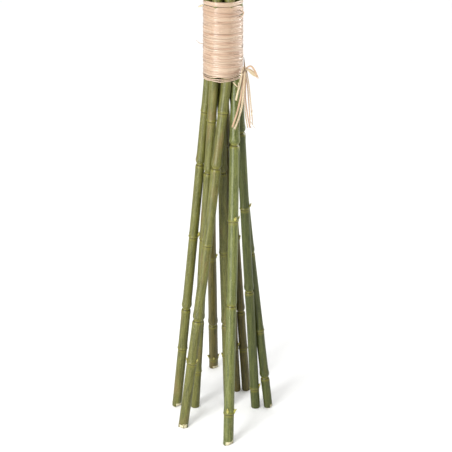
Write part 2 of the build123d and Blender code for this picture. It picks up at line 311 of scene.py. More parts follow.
@dataclass(frozen=True)
class Raffia:
    """Dried palm ribbon: peach to straw, with fine lengthwise fibres and a dry sheen.

    It reads the strand attribute: across the ribbon and along it in metres, with a tone from
    0 to 1 that makes each ribbon a little different.
    """

    name: str
    straw: str
    peach: str
    tan: str
    pale: str
    gloss: float = 0.0

    def make(self) -> bpy.types.Material:
        """Build the material."""
        material, tree, shader = blank_material(self.name)
        strand = add(tree, "ShaderNodeAttribute", attribute_name="strand").outputs["Vector"]
        tone = add(tree, "ShaderNodeAttribute", attribute_name="tone").outputs["Fac"]
        fibre = stretched_noise(tree, strand, (0.45, 30.0, 1000.0), 3.0)
        fold = stretched_noise(tree, strand, (1.6, 60.0, 1000.0), 2.0)
        colour = blend_colour(tree, tone, self.straw, self.peach)
        colour = blend_colour(tree, remap(tree, fold, 0.50, 0.68, 0.0, 0.75), colour, self.tan)
        colour = blend_colour(tree, remap(tree, fibre, 0.55, 0.75, 0.0, 0.55), colour, self.pale)
        tree.links.new(colour, shader.inputs["Base Color"])
        tree.links.new(remap(tree, fibre, 0.3, 0.7, 0.48, 0.68), shader.inputs["Roughness"])
        shader.inputs["Sheen Weight"].default_value = 0.15
        shader.inputs["Sheen Roughness"].default_value = 0.5
        shader.inputs["Coat Weight"].default_value = self.gloss
        shader.inputs["Coat Roughness"].default_value = 0.24
        relief(tree, shader, fibre, 0.12, 0.7)
        return material


@dataclass(frozen=True)
class TurnedMetal:
    """Sheet metal spun on a lathe: fine lines run round it and spread the highlight sideways."""

    name: str
    colour: str
    worn: str
    roughness: float = 0.32
    line: float = 0.35  # height of one brushed line

    def make(self) -> bpy.types.Material:
        """Build the material."""
        material, tree, shader = blank_material(self.name)
        place = add(tree, "ShaderNodeTexCoord").outputs["Object"]
        lines = stretched_noise(tree, place, (60.0, 60.0, self.line), 3.0)
        stain = stretched_noise(tree, place, (18.0, 18.0, 14.0), 4.0)
        colour = blend_colour(tree, remap(tree, stain, 0.48, 0.72, 0.0, 0.7), self.colour, self.worn)
        tree.links.new(colour, shader.inputs["Base Color"])
        shader.inputs["Metallic"].default_value = 1.0
        rough = remap(tree, lines, 0.3, 0.7, self.roughness - 0.07, self.roughness + 0.10)
        tree.links.new(rough, shader.inputs["Roughness"])
        relief(tree, shader, lines, 0.05, 0.35)
        return material


@dataclass(frozen=True)
class MouldedRubber:
    """Black nitrile washer: matt, with a faint moulding texture and grey dust."""

    name: str = "nitrile_rubber"

    def make(self) -> bpy.types.Material:
        """Build the material."""
        material, tree, shader = blank_material(self.name)
        place = add(tree, "ShaderNodeTexCoord").outputs["Object"]
        grain = stretched_noise(tree, place, (0.8, 0.8, 0.8), 2.0)
        colour = blend_colour(tree, remap(tree, grain, 0.4, 0.75), "#161616", "#34322F")
        tree.links.new(colour, shader.inputs["Base Color"])
        shader.inputs["Roughness"].default_value = 0.72
        relief(tree, shader, grain, 0.05, 0.5)
        return material


@dataclass(frozen=True)
class BraidedGlass:
    """Glass-fibre wick: off-white yarn, charred brown and black over its top few millimetres."""

    name: str
    char_top: float  # height of the tip, in millimetres

    def make(self) -> bpy.types.Material:
        """Build the material."""
        material, tree, shader = blank_material(self.name)
        place = add(tree, "ShaderNodeTexCoord").outputs["Object"]
        height = add(tree, "ShaderNodeSeparateXYZ", {"Vector": place}).outputs["Z"]
        yarn = stretched_noise(tree, place, (0.5, 0.5, 2.5), 3.0)
        edge = add(tree, "ShaderNodeMath", {0: yarn, 1: 6 * MM}, operation="MULTIPLY").outputs[0]
        level = add(tree, "ShaderNodeMath", {0: height, 1: edge}, operation="ADD").outputs[0]
        base = blend_colour(tree, remap(tree, yarn, 0.35, 0.7), "#E9E3D2", "#C9BC9C")
        tip = self.char_top * MM
        scorch = blend_colour(tree, remap(tree, level, tip - 9 * MM, tip - 3 * MM), base, "#6B4A2A")
        char = blend_colour(tree, remap(tree, level, tip - 4 * MM, tip + 1 * MM), scorch, "#15120F")
        tree.links.new(char, shader.inputs["Base Color"])
        shader.inputs["Roughness"].default_value = 0.9
        relief(tree, shader, yarn, 0.2, 0.7)
        return material


@dataclass(frozen=True)
class PaleFloor:
    """Plain white studio floor, matt, with the slightest unevenness."""

    name: str = "studio_floor"

    def make(self) -> bpy.types.Material:
        """Build the material."""
        material, tree, shader = blank_material(self.name)
        place = add(tree, "ShaderNodeTexCoord").outputs["Object"]
        cloud = stretched_noise(tree, place, (300.0, 300.0, 300.0), 2.0)
        colour = blend_colour(tree, cloud, "#FBFBFA", "#F6F6F5")
        tree.links.new(colour, shader.inputs["Base Color"])
        shader.inputs["Roughness"].default_value = 0.9
        return material


@cache
def material_of(finish: object) -> bpy.types.Material:
    """The one material of a finish."""
    return finish.make()


# ---- Mesh helpers -------------------------------------------------------------------------


class TubeMesh:
    """Collects closed tubes into one mesh, with attributes that its finish reads."""

    def __init__(self, vectors: Sequence[str] = (), numbers: Sequence[str] = ()) -> None:
        """Start an empty mesh.

        Args:
            vectors: names of its vector attributes.
            numbers: names of its number attributes.
        """
        self.bm = bmesh.new()
        kinds = self.bm.verts.layers
        for name in vectors:
            kinds.float_vector.new(name)
        for name in numbers:
            kinds.float.new(name)
        self.layers = {
            name: kinds.float_vector.get(name) or kinds.float.get(name) for name in (*vectors, *numbers)
        }

    def tube(
        self, stations: int, around: int,
        place: Callable[[int, float], tuple[Vector, dict[str, object]]],
    ) -> list[bmesh.types.BMVert]:
        """Add one closed tube.

        Args:
            stations: rings along it.
            around: sides of its section.
            place: gives the point and the attributes at a ring number and a turn from 0 to 1.

        Returns:
            The tube's vertices.
        """
        grid = bmesh.ops.create_grid(self.bm, x_segments=stations - 1, y_segments=around, size=0.5)
        verts = grid["verts"]
        seam = []
        for vert in verts:
            ring, turn = round((vert.co.x + 0.5) * (stations - 1)), vert.co.y + 0.5
            if turn < 1e-4 or turn > 1 - 1e-4:
                seam.append(vert)
            vert.co, values = place(ring, turn % 1.0 if turn < 1 - 1e-4 else 0.0)
            for name, value in values.items():
                vert[self.layers[name]] = value
        bmesh.ops.remove_doubles(self.bm, verts=seam, dist=1e-7)
        verts = [v for v in verts if v.is_valid]
        rims = {e for v in verts for e in v.link_edges if e.is_boundary}
        bmesh.ops.holes_fill(self.bm, edges=list(rims), sides=0)
        return verts

    def finish(
        self, name: str, materials: Sequence[bpy.types.Material], smooth: bool = True
    ) -> bpy.types.Object:
        """Turn the mesh into an object at the origin.

        Args:
            name: the piece's name.
            materials: its material slots.
            smooth: whether its faces are shaded smooth.

        Returns:
            The object.
        """
        bmesh.ops.recalc_face_normals(self.bm, faces=self.bm.faces)
        return object_from(self.bm, name, materials, smooth)


def object_from(
    bm: bmesh.types.BMesh, name: str, materials: Sequence[bpy.types.Material], smooth: bool = True
) -> bpy.types.Object:
    """Turn a bmesh into an object at the origin and free it.

    Args:
        bm: the mesh, in metres in the torch's frame.
        name: the piece's name.
        materials: its material slots.
        smooth: whether its faces are shaded smooth.

    Returns:
        The object.
    """
    mesh = bpy.data.meshes.new(name)
    for face in bm.faces:
        face.smooth = smooth
    bm.to_mesh(mesh)
    bm.free()
    for material in materials:
        mesh.materials.append(material)
    made = bpy.data.objects.new(name, mesh)
    bpy.context.scene.collection.objects.link(made)
    return made


def fix_to_stand(piece: bpy.types.Object, node: str | None = None) -> None:
    """Let a piece ride on the stand.

    Args:
        piece: the piece.
        node: the CAD node that it stands for, if any.
    """
    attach(piece, "stand")
    if node:
        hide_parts(node)


def polar(radius: float, angle: float, height: float = 0.0) -> Vector:
    """Point at a radius, an angle in radians and a height."""
    return Vector((radius * math.cos(angle), radius * math.sin(angle), height))


def wobble(seed: float, place: float, pitch: float) -> float:
    """Smooth seeded noise from -1 to 1 along a line.

    Args:
        seed: picks the noise.
        place: position along the line.
        pitch: length of one swing, in the same unit.

    Returns:
        The noise at that place.
    """
    return noise.noise(Vector((place / pitch, seed * 7.31, seed * 3.17)))


# ---- Canes --------------------------------------------------------------------------------


SCAR_OFFSET = -1.8  # a leaf scar's height above its node
# Swellings of a node: share of the cane's radius, height above the node, half height, sharpness.
COLLAR_SHAPE = ((0.13, 0.0, 2.2, 2.0), (0.05, 5.0, 3.0, 2.0), (-0.06, SCAR_OFFSET, 0.9, 2.0))
PINCH_SHAPE = ((-0.24, 0.4, 2.1, 1.5), (0.11, 8.0, 6.0, 2.0), (0.045, -7.5, 4.5, 2.0))
NODE_REACH = 24.0  # how far from a node its swellings are felt
# Heights of a cane's rings: above a node, and above its foot or below its top.
NODE_RINGS = (
    -16, -12, -9, -7, -5.5, -4.2, -3.2, -2.4, -1.8, -1.2, -0.5,
    0.2, 0.9, 1.6, 2.5, 3.6, 5, 7, 9, 11.5, 14, 17,
)
FOOT_RINGS = (0.0, 0.8, 2.2, 4.0, 6.0, 8.5)
TOP_RINGS = (2.5, 0.8, 0.0)
RING_SPACING = 14.0
NODE_CLEARANCE = 18.0  # how far the wide rings keep from a node
END_CLEARANCE = 3.0  # how far a node's rings keep from the cane's ends
LEVEL_REACH = 8.0  # how far from a level end the section turns level
STRAIGHT_REACH = 40.0  # how far from an end the cane's drift grows to its full size
HOLLOW_DEPTH = 9.0
HOLLOW_TAPER = 0.15
CHIP_REACH = 8.5  # how high up the rind a chip in the foot goes
CHIP_RISE = 3.4  # how far a chip lifts the foot's edge
CHIP_WOOD = 8.0  # below this height a chip shows the wood


class NodeKind(Enum):
    """How a cane's node looks."""

    COLLAR = "collar"
    PINCH = "pinch"


@dataclass(frozen=True)
class NodeMark:
    """One node of a cane: its height, its kind, and which way its buds point."""

    height: float
    kind: NodeKind
    buds: tuple[float, ...] = ()  # degrees from +X
    twig: bool = False  # whether the first bud has a twig stub beside it
    depth: float = 1.0  # share of a full collar or pinch


def collar(height: float, *buds: float, twig: bool = False, depth: float = 1.0) -> NodeMark:
    """Node with a raised ring, maybe with buds."""
    return NodeMark(height, NodeKind.COLLAR, buds, twig, depth)


def pinch(height: float, depth: float = 1.0) -> NodeMark:
    """Node where the cane narrows."""
    return NodeMark(height, NodeKind.PINCH, depth=depth)


class CaneLine:
    """Centreline and thickness of a cane, measured on its CAD node."""

    def __init__(self, mesh: bpy.types.Mesh, marks: Sequence[NodeMark]) -> None:
        """Measure a cane.

        Args:
            mesh: the CAD node's mesh.
            marks: the cane's nodes, from the ground up.
        """
        points = np.empty(len(mesh.vertices) * 3)
        mesh.vertices.foreach_get("co", points)
        edges = np.empty(len(mesh.edges) * 2, dtype=int)
        mesh.edges.foreach_get("vertices", edges)
        self._points = points.reshape(-1, 3) / MM
        self._edges = edges.reshape(-1, 2)
        self.top = float(self._points[:, 2].max())
        # A slanted foot isn't whole at its lowest, so the line is carried down from above it.
        self.heights = np.linspace(6.0, self.top - 1.0, 90)
        slices = [self._slice(h) for h in self.heights]
        self.x = np.array([s[0] for s in slices])
        self.y = np.array([s[1] for s in slices])
        ends = [0.0] + [m.height for m in marks] + [self.top]
        self.clear = np.array([(a + b) / 2 for a, b in zip(ends, ends[1:])])
        self.thick = np.array([self._slice(h)[2] for h in self.clear])

    def _slice(self, height: float) -> tuple[float, float, float]:
        """Centre and radius of a level cut at a height."""
        start, end = self._points[self._edges[:, 0]], self._points[self._edges[:, 1]]
        crosses = (start[:, 2] - height) * (end[:, 2] - height) < 0
        start, end = start[crosses], end[crosses]
        share = (height - start[:, 2:3]) / (end[:, 2:3] - start[:, 2:3])
        cut = start + (end - start) * share
        low, high = cut.min(axis=0), cut.max(axis=0)
        middle = (low + high) / 2
        return float(middle[0]), float(middle[1]), float(min(high[0] - low[0], high[1] - low[1]) / 2)

    def at(self, height: float) -> Vector:
        """Centre of the cane at a height."""
        place = float(np.interp(height, self.heights, np.arange(len(self.heights))))
        low = min(int(place), len(self.heights) - 2)
        share = (height - self.heights[low]) / (self.heights[low + 1] - self.heights[low])
        x, y = (float(row[low] + (row[low + 1] - row[low]) * share) for row in (self.x, self.y))
        return Vector((x, y, height))

    def radius(self, height: float) -> float:
        """Radius of the cane at a height, between its nodes."""
        return float(np.interp(height, self.clear, self.thick))

    def direction(self, height: float) -> Vector:
        """Direction of the cane at a height, averaged over its bends."""
        reach = 12.0
        low, high = max(height - reach, 0.0), min(height + reach, self.top)
        return (self.at(high) - self.at(low)).normalized()


@dataclass
class Cane:
    """One bamboo cane with its nodes, buds and sawn ends."""

    node: str
    rind: BambooRind
    legs: tuple[NodeMark, ...]
    upper_first: float
    seed: int
    square_cut: bool = False
    chips: tuple[tuple[float, float, float], ...] = ()  # of each: aim and half width in degrees, depth
    upper_spacing: float = 142.0
    last_node: float = 1373.0
    sides: int = 36
    bore_share: float = 0.30
    line: CaneLine | None = None
    marks: tuple[NodeMark, ...] = field(init=False)

    def __post_init__(self) -> None:
        """Add the nodes above the waist."""
        marks = list(self.legs)
        height = self.upper_first
        while height < self.last_node:
            turn = self.seed * 67 + height
            if len(marks) % 2 == 0:
                marks.append(collar(height, turn % 360))
            else:
                marks.append(pinch(height))
            height += self.upper_spacing
        self.marks = tuple(marks)

    def measure(self, nodes: dict[str, bpy.types.Object]) -> None:
        """Read the cane's line from the frame.

        Args:
            nodes: the frame's CAD nodes.
        """
        self.line = CaneLine(nodes[self.node].data, self.marks)

    def swell(self, height: float) -> float:
        """Factor on the radius that the nodes make at a height."""
        factor = 1.0
        for mark in self.marks:
            gap = height - mark.height
            if abs(gap) > NODE_REACH:
                continue
            shape = COLLAR_SHAPE if mark.kind is NodeKind.COLLAR else PINCH_SHAPE
            rises = (
                rise * math.exp(-(abs((gap - place) / half) ** power))
                for rise, place, half, power in shape
            )
            factor += sum(rises) * mark.depth
        return factor

    def stations(self) -> list[float]:
        """Heights of the rings: close together at the nodes, wider between them."""
        top = self.line.top
        heights = {*FOOT_RINGS, *(top - drop for drop in TOP_RINGS)}
        count = int(top / RING_SPACING)
        for index in range(1, count):
            height = index * top / count
            if all(abs(height - m.height) > NODE_CLEARANCE for m in self.marks):
                heights.add(height)
        for mark in self.marks:
            rings = (mark.height + offset for offset in NODE_RINGS)
            heights.update(height for height in rings if END_CLEARANCE < height < top - END_CLEARANCE)
        return sorted(heights)

    def scar_gap(self, height: float) -> float:
        """Distance from a height to the nearest leaf scar, just below its node."""
        return min(abs(height - m.height - SCAR_OFFSET) for m in self.marks)

    def chipped(self, angle: float) -> float:
        """How much of the foot's edge is broken off at an angle, from 0 to 1."""
        worst = 0.0
        for aim, half, depth in self.chips:
            off = (math.degrees(angle) - aim + 180) % 360 - 180
            if abs(off) < half:
                rough = 0.25 * wobble(aim, off, 9.0)
                worst = max(worst, depth * ((1 - (off / half) ** 2) ** 0.5 + rough))
        return worst

    def ring_frame(self, height: float) -> tuple[Vector, Vector, Vector]:
        """Centre of a ring and the two directions of its section.

        Args:
            height: the ring's height.

        Returns:
            The centre, and the section's first and second direction.
        """
        axis = self.line.direction(height)
        level = Vector((0, 0, 1))
        near_foot = 0.0 if self.square_cut else max(0.0, 1 - height / LEVEL_REACH)
        near_top = max(0.0, 1 - (self.line.top - height) / LEVEL_REACH)
        up = axis.lerp(level, max(near_foot, near_top)).normalized()
        first = (Vector((1, 0, 0)) - up * up.x).normalized()
        centre = self.line.at(height)
        if self.square_cut and height < LEVEL_REACH:
            tilt = math.hypot(axis.x, axis.y)
            rise = self.line.radius(0) * tilt * (1 - height / LEVEL_REACH)
            centre = self.line.at(height + rise)
        drift = 0.35 * wobble(self.seed, height, 150.0), 0.35 * wobble(self.seed + 40, height, 150.0)
        settle = min(1.0, height / STRAIGHT_REACH, (self.line.top - height) / STRAIGHT_REACH)
        centre = centre + Vector((drift[0], drift[1], 0)) * max(settle, 0.0)
        return centre, first, up.cross(first)

    def build(self, cut: bpy.types.Material, scale: bpy.types.Material) -> list[bpy.types.Object]:
        """Build the cane and its buds.

        Args:
            cut: finish of the sawn ends.
            scale: finish of the buds.

        Returns:
            The cane, and its buds if it has any.
        """
        heights = self.stations()
        frames = [self.ring_frame(h) for h in heights]
        swells = [self.swell(h) * self.line.radius(h) for h in heights]
        gaps = [self.scar_gap(h) for h in heights]
        cane = TubeMesh(vectors=("grain",), numbers=("scar_gap",))

        def place(ring: int, turn: float) -> tuple[Vector, dict[str, object]]:
            """Point of the rind at a ring and a turn round it."""
            angle, height = turn * FULL_TURN, heights[ring]
            centre, first, second = frames[ring]
            oval = 1 + 0.018 * math.cos(2 * (angle - self.seed)) + 0.008 * noise.noise(
                Vector((math.cos(angle) * 1.5, math.sin(angle) * 1.5, height / 60 + self.seed * 5))
            )
            edge = min(height, self.line.top - height)
            chamfer = 0.5 * max(0.0, 1 - edge / 0.8)
            reach = swells[ring] * oval - chamfer
            broken = self.chipped(angle) * max(0.0, 1 - height / CHIP_REACH)
            reach *= 1 - 0.5 * broken
            local = (reach * math.cos(angle), reach * math.sin(angle))
            point = centre + first * local[0] + second * local[1]
            point.z = max(point.z + (CHIP_RISE * broken if height < 0.5 else 0.0), 0.0)
            grain = Vector((local[0], local[1], height + self.seed * 900)) * MM
            return point * MM, {"grain": grain, "scar_gap": gaps[ring] * MM}

        cane.tube(len(heights), self.sides, place)
        bmesh.ops.recalc_face_normals(cane.bm, faces=cane.bm.faces)
        self._open_ends(cane.bm)
        pieces = [cane.finish(self.node + "_rind", (material_of(self.rind), cut))]
        buds = self._buds(scale)
        if buds:
            pieces.append(buds)
        for piece, node in zip(pieces, (self.node, None)):
            fix_to_stand(piece, node)
        return pieces

    def _open_ends(self, bm: bmesh.types.BMesh) -> None:
        """Give each sawn end its wood and its small hollow.

        Args:
            bm: the cane's mesh, with one many-sided face at each end.
        """
        for face in bm.faces:
            middle = face.calc_center_median() / MM
            out = middle - self.line.at(middle.z)
            if middle.z < CHIP_WOOD and self.chipped(math.atan2(out.y, out.x)) > 0.3:
                face.material_index = 1
        for cap in [f for f in bm.faces if len(f.verts) > 8]:
            radius = math.sqrt(cap.calc_area() / math.pi)
            cap.material_index = 1
            wall = bmesh.ops.inset_individual(bm, faces=[cap], thickness=radius * (1 - self.bore_share))
            hollow = bmesh.ops.inset_individual(
                bm, faces=[cap], thickness=HOLLOW_TAPER * MM, depth=-HOLLOW_DEPTH * MM
            )
            for face in wall["faces"] + hollow["faces"]:
                face.material_index = 1
        for vertex in bm.verts:
            vertex.co.z = max(vertex.co.z, 0.0)

    def _buds(self, finish: bpy.types.Material) -> bpy.types.Object | None:
        """Model the bud scales and twig stubs at the nodes.

        Args:
            finish: finish of the scales.

        Returns:
            All of them as one piece, or None if the cane has none.
        """
        chance = random.Random(self.seed)
        marks = [m for m in self.marks if m.buds]
        if not marks:
            return None
        bm = bmesh.new()
        for mark in marks:
            axis = self.line.direction(mark.height)
            for number, direction in enumerate(mark.buds):
                out = polar(1.0, math.radians(direction))
                out = (out - axis * out.dot(axis)).normalized()
                foot = self.line.at(mark.height + 1.5) + out * (self.line.radius(mark.height) * 1.02)
                lean = math.radians(chance.uniform(8, 20))
                add_scale(bm, foot, axis, out, lean, chance.uniform(7.5, 11.0), chance.uniform(4.0, 5.2))
                if mark.twig and number == 0:
                    lean = math.radians(chance.uniform(28, 42))
                    add_stub(bm, foot, axis, out, lean, chance.uniform(8, 12))
        bmesh.ops.recalc_face_normals(bm, faces=bm.faces)
        return object_from(bm, self.node + "_buds", (finish,))


def bud_frame(foot: Vector, axis: Vector, out: Vector, lean: float) -> Matrix:
    """Frame of a bud: its z points up the cane and outwards by the lean.

    Args:
        foot: where it grows from, in millimetres.
        axis: the cane's direction.
        out: away from the cane.
        lean: angle between the cane and the bud, in radians.

    Returns:
        A matrix from the bud's own millimetres to metres.
    """
    up = (axis * math.cos(lean) + out * math.sin(lean)).normalized()
    side = axis.cross(out).normalized()
    face = side.cross(up).normalized()
    turn = Matrix((side, face, up)).transposed().to_4x4()
    return Matrix.Scale(MM, 4) @ Matrix.Translation(foot) @ turn


def add_scale(
    bm: bmesh.types.BMesh, foot: Vector, axis: Vector, out: Vector, lean: float, length: float, width: float
) -> None:
    """Add a pointed bud scale that hugs the cane.

    Args:
        bm: mesh to add to.
        foot: where it grows from, in millimetres.
        axis: the cane's direction.
        out: away from the cane.
        lean: angle from the cane, in radians.
        length: its length.
        width: its width.
    """
    made = bmesh.ops.create_uvsphere(bm, u_segments=10, v_segments=8, radius=1.0)
    for vert in made["verts"]:
        along = (vert.co.z + 1) / 2
        taper = (1 - along) ** 0.55 * (0.55 + 0.9 * min(along * 2.2, 1.0)) if along < 1 else 0.0
        girth = math.hypot(vert.co.x, vert.co.y) or 1.0
        spread = taper * math.sqrt(max(1 - vert.co.z**2, 0)) ** 0.3
        x, y = vert.co.x / girth * spread * width / 2, vert.co.y / girth * spread * width / 3.2
        vert.co = Vector((x, y + 0.5 * along**2, along * length))
    bmesh.ops.transform(bm, matrix=bud_frame(foot, axis, out, lean), verts=made["verts"])


def add_stub(
    bm: bmesh.types.BMesh, foot: Vector, axis: Vector, out: Vector, lean: float, length: float
) -> None:
    """Add the stub of a trimmed twig, with its own little joint.

    Args:
        bm: mesh to add to.
        foot: where it grows from, in millimetres.
        axis: the cane's direction.
        out: away from the cane.
        lean: angle from the cane, in radians.
        length: its length.
    """
    frame = bud_frame(foot, axis, out, lean)
    sections = ((1.5, 0.35), (0.95, 0.2), (1.25, 0.2), (0.85, 0.25))
    start = 0.0
    for radius, share in sections:
        depth = length * share
        made = bmesh.ops.create_cone(
            bm, cap_ends=True, segments=9, radius1=radius, radius2=radius * 0.8, depth=depth * 1.15
        )
        shift = Matrix.Translation((0, 0, start + depth / 2))
        bmesh.ops.transform(bm, matrix=frame @ shift, verts=made["verts"])
        start += depth


# ---- Raffia -------------------------------------------------------------------------------


def raffia_mesh() -> TubeMesh:
    """Empty mesh with the attributes that the raffia finish reads."""
    return TubeMesh(vectors=("strand",), numbers=("tone",))


def ribbon(
    mesh: TubeMesh, path: Sequence[Vector], facing: Sequence[Vector], widths: Sequence[float],
    thickness: float, tone: float, around: int = 8,
) -> None:
    """Add a flat raffia ribbon along a path.

    Args:
        mesh: mesh to add to, with the raffia attributes.
        path: its middle line, in millimetres.
        facing: which way its flat side faces at each point.
        widths: its width at each point.
        thickness: its thickness in the middle.
        tone: its colour between straw and peach.
        around: sides of its section.
    """
    count = len(path)
    runs = [0.0]
    for start, end in zip(path, path[1:]):
        runs.append(runs[-1] + (end - start).length)
    frames = []
    for index, point in enumerate(path):
        along = (path[min(index + 1, count - 1)] - path[max(index - 1, 0)]).normalized()
        side = along.cross(facing[index]).normalized()
        frames.append((point, side, side.cross(along).normalized()))

    def place(ring: int, turn: float) -> tuple[Vector, dict[str, object]]:
        """Point of the ribbon's skin at a ring and a turn round its section."""
        point, side, out = frames[ring]
        angle = turn * FULL_TURN
        across = math.cos(angle) * widths[ring] / 2
        fold = 0.35 * math.sin(across * 2.4 + tone * 9 + runs[ring] * 0.02)
        rise = (math.sin(angle) * 0.5 + fold * (1 - abs(math.cos(angle)))) * thickness
        where = point + side * across + out * rise
        strand = Vector((across * MM, (runs[ring] + tone * 700) * MM, tone))
        return where * MM, {"strand": strand, "tone": tone}

    mesh.tube(count, around, place)


class Outline:
    """Taut outline round a bundle of canes: its radius at an angle and a height."""

    def __init__(self, lines: Sequence[CaneLine], bottom: float, top: float, softness: float) -> None:
        """Measure the bundle.

        Args:
            lines: the canes' lines.
            bottom: lowest height of interest.
            top: highest height of interest.
            softness: share by which the layers of raffia round the corners off.
        """
        self.heights = np.linspace(bottom, top, 6)
        self.angles = np.linspace(0, FULL_TURN, 181)
        rows = [self._row(lines, height) for height in self.heights]
        self.table = np.array([row * (1 - softness) + row.mean() * softness for row in rows])

    def _row(self, lines: Sequence[CaneLine], height: float) -> np.ndarray:
        """Radii of the taut outline at one height."""
        centres = [(line.at(height), line.radius(height)) for line in lines]
        support = np.array([
            max(c.x * math.cos(a) + c.y * math.sin(a) + r for c, r in centres) for a in self.angles
        ])
        turned = np.cos(self.angles[None, :] - self.angles[:, None])
        reach = np.where(turned > 0.3, support[None, :] / np.maximum(turned, 0.3), np.inf)
        return reach.min(axis=1)

    def radius(self, angle: float, height: float) -> float:
        """Radius at an angle in radians and a height."""
        place = float(np.interp(height, self.heights, np.arange(len(self.heights))))
        low = min(int(place), len(self.heights) - 2)
        turn = angle % FULL_TURN
        pair = [float(np.interp(turn, self.angles, self.table[row])) for row in (low, low + 1)]
        return pair[0] + (pair[1] - pair[0]) * (place - low)

    def facing(self, angle: float, height: float) -> Vector:
        """Outward direction of the outline at an angle."""
        step = 0.05
        after = polar(self.radius(angle + step, height), angle + step)
        before = polar(self.radius(angle - step, height), angle - step)
        along = after - before
        return Vector((along.y, -along.x, 0)).normalized()


SLACK_WIDTH = 1.9  # width of a strand where the binding is slack


@dataclass(frozen=True)
class Strand:
    """One length of raffia laid round a bundle."""

    start: float  # first angle, in radians
    turns: float
    top: float  # height where it starts
    fall: float  # drop in one turn
    width: float
    lift: float  # how far it stands off the canes
    tone: float
    sway: float = 1.0  # how far it strays up and down
    thickness: float = 0.7
    part: float = 0.0  # how far it is drawn up where the lowest strands part


@dataclass
class Binding:
    """Raffia wound round the canes in many turns."""

    node: str
    bottom: float
    top: float
    seed: int
    knot_angle: float  # degrees from +X
    knot_height: float
    finish: Raffia
    pitch: float = 3.4
    width: float = 4.4
    lift: float = 0.6
    overlays: int = 30
    top_band: float = 0.0  # height of the separate band at the top
    loose_foot: float = 0.0  # height over which the lowest strands lie apart
    softness: float = 0.45
    slack: float = 0.0  # share of their width that the strands lose on the slack side
    slack_angle: float = -4.0  # degrees from +X
    part_angle: float = -101.0  # degrees from +X
    steps: int = 72  # stations in one turn
    outline: Outline | None = None

    @staticmethod
    def near(angle: float, aim: float, half: float) -> float:
        """How near an angle is to an aim in degrees: 1 on it, falling off over half radians."""
        off = (angle - math.radians(aim) + math.pi) % FULL_TURN - math.pi
        return math.exp(-((off / half) ** 2))

    def gather(self, angle: float, height: float) -> float:
        """How far a strand is drawn towards the knot at an angle and a height."""
        share = self.near(angle, self.knot_angle, 0.42) * math.exp(-abs(height - self.knot_height) / 12)
        return (self.knot_height - height) * share * 0.62

    def lay(self, mesh: TubeMesh, strand: Strand) -> None:
        """Lay one strand round the bundle.

        Args:
            mesh: mesh to add to.
            strand: the strand.
        """
        count = max(int(strand.turns * self.steps), 8)
        own = strand.tone * 90 + self.seed
        path, facing, widths = [], [], []
        for index in range(count + 1):
            done = strand.turns * index / count
            angle = strand.start + done * FULL_TURN
            level = strand.top - strand.fall * done + strand.sway * wobble(own, done, 0.31)
            slack = self.slack * self.near(angle, self.slack_angle, 0.5)
            level += strand.part * self.near(angle, self.part_angle, 0.3)
            level += 3.0 * slack * wobble(own + 7, done, 0.1)
            level = min(max(level + self.gather(angle, level), self.bottom + 1), self.top - 1)
            tucked = min(min(index, count - index) / 5, 1.0)
            stand = (strand.lift + 0.35 * wobble(own + 5, done, 0.17)) * tucked
            path.append(polar(self.outline.radius(angle, level) + stand, angle, level))
            lean = 0.1 + 0.2 * wobble(own + 9, done, 0.4)
            facing.append((self.outline.facing(angle, level) + Vector((0, 0, lean))).normalized())
            breadth = 1 + 0.2 * wobble(own + 3, done, 0.23)
            loosened = strand.width + (SLACK_WIDTH - strand.width) * slack
            widths.append(min(strand.width * breadth * (0.35 + 0.65 * tucked), loosened))
        ribbon(mesh, path, facing, widths, strand.thickness, strand.tone)

    def strands(self) -> list[Strand]:
        """Every strand of the binding, from the lowest layer outwards."""
        chance = random.Random(self.seed)
        low = self.bottom + self.loose_foot + self.width / 2
        high = self.top - self.top_band - self.width / 2
        found = []
        for turn in range(int((high - low) / 5.0) + 1):
            found.append(Strand(
                start=chance.uniform(0, FULL_TURN), turns=1.12, top=high - turn * 5.0, fall=0.5, width=8.0,
                lift=self.lift, tone=chance.uniform(0.3, 0.7), sway=0.5,
            ))
        level = high
        while level > low:
            turns = min(chance.choice((0.7, 1.0, 1.5)), (level - low) / self.pitch + 0.6)
            found.append(Strand(
                start=chance.uniform(0, FULL_TURN), turns=turns + 0.15, top=level, fall=self.pitch,
                width=self.width * chance.uniform(0.7, 1.2), lift=self.lift + chance.uniform(0.35, 0.65),
                tone=chance.random(), sway=chance.uniform(0.8, 2.0),
            ))
            level -= turns * self.pitch
        for _ in range(self.overlays):
            found.append(Strand(
                start=chance.uniform(0, FULL_TURN), turns=chance.uniform(0.4, 1.1),
                top=chance.uniform(low + 3, high - 1), fall=chance.uniform(-8, 8),
                width=chance.uniform(1.4, 4.2), lift=self.lift + chance.uniform(0.8, 1.05),
                tone=chance.random(), sway=2.0, thickness=0.45,
            ))
        if self.top_band:
            for drop in (2.0, 4.4):
                found.append(Strand(
                    start=chance.uniform(0, FULL_TURN), turns=1.3, top=self.top - drop, fall=1.0,
                    width=3.8, lift=self.lift + 0.3, tone=0.1 + 0.2 * chance.random(), sway=0.8,
                ))
        if self.loose_foot:
            for rise, part in ((1.8, -1.4), (4.6, 0.2), (7.6, 1.8)):
                found.append(Strand(
                    start=math.radians(self.part_angle) + chance.uniform(1.5, 4.5), turns=1.25,
                    top=self.bottom + rise + 1.0, fall=1.0, width=2.0, lift=self.lift + 0.1 * rise,
                    tone=chance.random(), sway=1.2, part=part,
                ))
        return found

    def build(self, lines: Sequence[CaneLine]) -> bpy.types.Object:
        """Build the binding as one piece.

        Args:
            lines: the lines of the canes that it goes round.

        Returns:
            The binding.
        """
        self.outline = Outline(lines, self.bottom, self.top, self.softness)
        mesh = raffia_mesh()
        for strand in self.strands():
            self.lay(mesh, strand)
        made = mesh.finish(self.node + "_raffia", (material_of(self.finish),))
        fix_to_stand(made, self.node)
        return made


